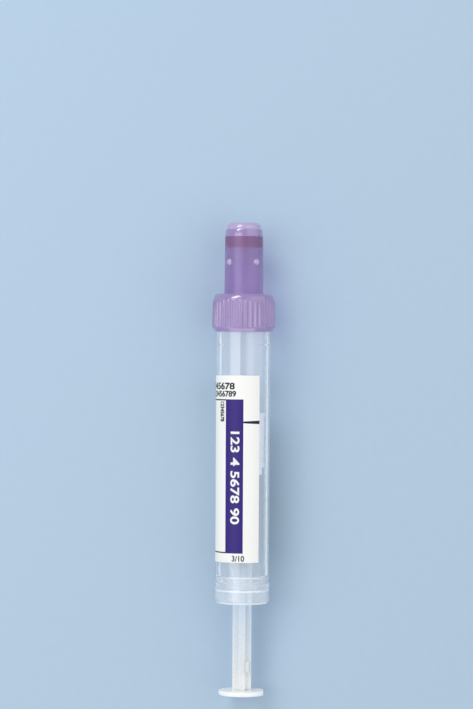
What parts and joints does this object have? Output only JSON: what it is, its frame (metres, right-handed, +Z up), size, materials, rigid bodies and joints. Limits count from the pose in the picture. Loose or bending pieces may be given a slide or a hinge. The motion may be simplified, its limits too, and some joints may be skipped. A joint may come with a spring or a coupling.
{
  "type": "blood collection tube",
  "caption": "Slim syringe-type blood collection tube: clear labelled barrel, ribbed screw cap with a long nose and rubber membrane, and a piston on a break-off plunger rod.",
  "frame": {"origin": "on the surface that the tube lies on, under the middle of its bounding box", "axes": "+Y along the tube towards the cap, rising by about 1 degree because the cap is wider than the foot; +Z up, through the front with the label's print; +X to the right of the print"},
  "size_m": [0.013, 0.0976, 0.013],
  "materials": {
    "clear_barrel": "clear, polished",
    "cap_plastic": "translucent, satin",
    "stopper_rubber": "smooth, matt",
    "piston_plastic": "translucent, satin",
    "rod_plastic": "translucent, satin",
    "label_film": "printed film"
  },
  "bodies": {
    "barrel_body": {"barrel": "clear_barrel", "label": "label_film"},
    "plunger": {"piston": "piston_plastic", "plunger_rod": "rod_plastic"},
    "membrane_carrier": {"membrane_stopper": "stopper_rubber"},
    "cap": {"screw_cap": "cap_plastic"}
  },
  "joints": [
    {"name": "plunger_slide", "type": "slide", "parent": "barrel_body", "child": "plunger", "axis": [0, -0.9999, -0.0166], "range_m": [-0.0178, 0.0223]},
    {"name": "cap_lift", "type": "slide", "parent": "barrel_body", "child": "membrane_carrier", "axis": [0, 0.9999, 0.0166], "range_m": [0, 0.0045]},
    {"name": "cap_turn", "type": "hinge", "parent": "membrane_carrier", "child": "cap", "pos_m": [0, 0.03017, 0.00657], "axis": [0, 0.9999, 0.0166], "range_deg": [0, 540]}
  ],
  "couplings": [
    {"joint": "cap_turn", "follows": "cap_lift", "rad_per_m": 2094.4}
  ]
}
